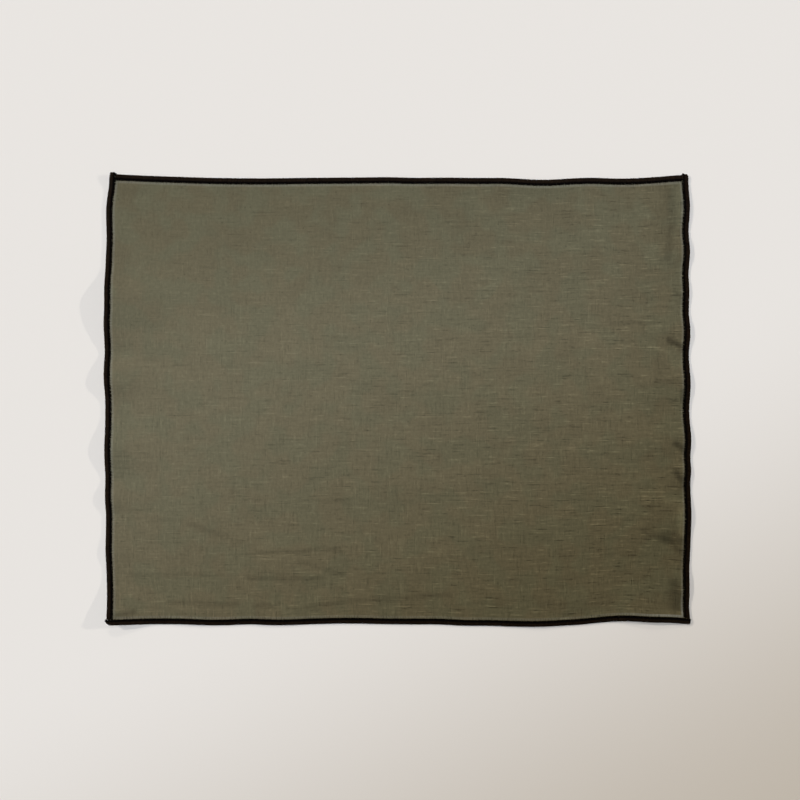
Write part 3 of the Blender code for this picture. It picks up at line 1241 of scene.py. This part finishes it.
@dataclass(frozen=True)
class Studio:
    """The floor, the lamps and the camera straight above the mat."""

    sky_share: float = 0.10
    sky_colour: tuple = (*LAMP_COLOUR, 1.0)
    floor_drop: float = 0.0003
    floor_squares: int = 8
    floor_size: float = 20.0
    backdrop_spread: float = 3.0
    backdrop_height: float = 1.4
    camera_place: tuple = (0.0013, -0.00045, 1.4775)
    lens: float = 85.0
    lamps: tuple[SunLamp | FadingLamp, ...] = (
        SunLamp("key_from_right", 0.977, 0.212, 28.0, 0.08, 1.5),
        SunLamp("from_left", -0.90, 0.43, 44.0, 0.20, 3.0),
        SunLamp("floor_from_behind", -0.10, 0.995, 46.0, 0.055, 3.0, Lit.FLOOR),
        SunLamp("floor_overhead", 0.0, 0.05, 89.0, 0.147, 30.0, Lit.FLOOR, False),
        SunLamp("mat_from_behind", -0.45, 0.89, 68.0, 0.08, 10.0, Lit.MAT),
        SunLamp("mat_overhead", 0.0, 0.05, 89.0, 0.12, 30.0, Lit.MAT, False),
        FadingLamp("floor_fade", Lit.FLOOR, 0.42, (0.87, 0.98, 1.14), 0.055, 0.460, 12.0),
        FadingLamp("mat_fade", Lit.MAT, 0.42, (0.87, 1.00, 1.34), -0.095, 0.206, 3.5),
    )

    def build(self, pieces: list[Object]) -> None:
        """Builds the whole studio.

        Args:
            pieces: The mat's pieces, which have a fading lamp of their own.
        """
        floor = self._add_floor()
        self._add_sky()
        for lamp in self.lamps:
            lamp.lights.limit(lamp.build(), floor, pieces)
        self._add_camera()
        bpy.context.scene.cycles.use_light_tree = False
        settings = bpy.context.scene.view_settings
        settings.view_transform = "Standard"
        settings.look = "None"

    def _add_floor(self) -> Object:
        """Lays the floor just under the mat, with a far rim that slopes up as its backdrop.

        Returns:
            The floor's object.
        """
        plane = bmesh.new()
        squares, half_size = self.floor_squares, 0.5 * self.floor_size
        bmesh.ops.create_grid(plane, x_segments=squares, y_segments=squares, size=half_size)
        bmesh.ops.translate(plane, vec=(0, 0, -self.floor_drop), verts=plane.verts[:])
        rim = [edge for edge in plane.edges if edge.is_boundary]
        lip = verts_of(bmesh.ops.extrude_edge_only(plane, edges=rim))
        spread = (self.backdrop_spread, self.backdrop_spread, 1.0)
        bmesh.ops.scale(plane, vec=spread, verts=lip)
        bmesh.ops.translate(plane, vec=(0, 0, self.backdrop_height), verts=lip)
        floor = show("floor", as_mesh("floor", plane), FloorFinish().build())
        return floor

    def _add_sky(self) -> None:
        """Lights the scene evenly from all round."""
        world = bpy.data.worlds.new("studio_light")
        world.use_nodes = True
        background = world.node_tree.nodes["Background"]
        background.inputs["Color"].default_value = self.sky_colour
        background.inputs["Strength"].default_value = self.sky_share
        bpy.context.scene.world = world

    def _add_camera(self) -> None:
        """Hangs the camera above the mat, looking straight down."""
        camera = bpy.data.cameras.new("camera")
        camera.lens = self.lens
        holder = link("camera", camera)
        holder.location = self.camera_place
        bpy.context.scene.camera = holder


def build_edging(shape: MatShape, finish: Material) -> list[Object]:
    """Builds the four runs of the edging and puts each in its solid's place.

    Args:
        shape: The mat's settled shape.
        finish: The thread material.

    Returns:
        The four runs' objects.
    """
    butted = EndForm(past=-0.0049)
    lump = EndForm(past=0.0006, rounding=0.0014, lean=0.04, tip_share=0.74)
    low_tip = EndForm(past=0.0004, rounding=0.0024, lean=0.60, tip_share=0.55)
    round_tip = EndForm(past=0.0001, rounding=0.0020, lean=0.05, tip_share=0.60)
    leaning_tip = EndForm(past=0.0012, rounding=0.0014, lean=0.20, tip_share=0.74)
    forms = (
        ("edging_top", BACK, butted, butted, 21, 0.00244),
        ("edging_right", RIGHT, lump, butted, 22, 0.00258),
        ("edging_bottom", FRONT, low_tip, round_tip, 23, 0.00227),
        ("edging_left", LEFT, leaning_tip, butted, 24, 0.00247),
    )
    pieces = []
    for node, side, start, end, seed, half_width in forms:
        run = EdgingRun(f"{node}_stitches", side, shape, start, end, seed, half_width)
        piece = run.build(finish)
        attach(piece, BODY)
        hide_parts(node)
        pieces.append(piece)
    return pieces


def main() -> None:
    """Builds the placemat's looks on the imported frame."""
    logging.basicConfig(level=logging.INFO, format="%(message)s")
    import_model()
    shape = MatShape()
    edging = build_edging(shape, ThreadFinish().build())
    linen = LinenSheet(shape)
    sheet = linen.build(LinenFinish().build())
    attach(sheet, BODY)
    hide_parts("linen_panel")
    Studio().build([sheet, *edging])


if __name__ == "__main__":
    main()
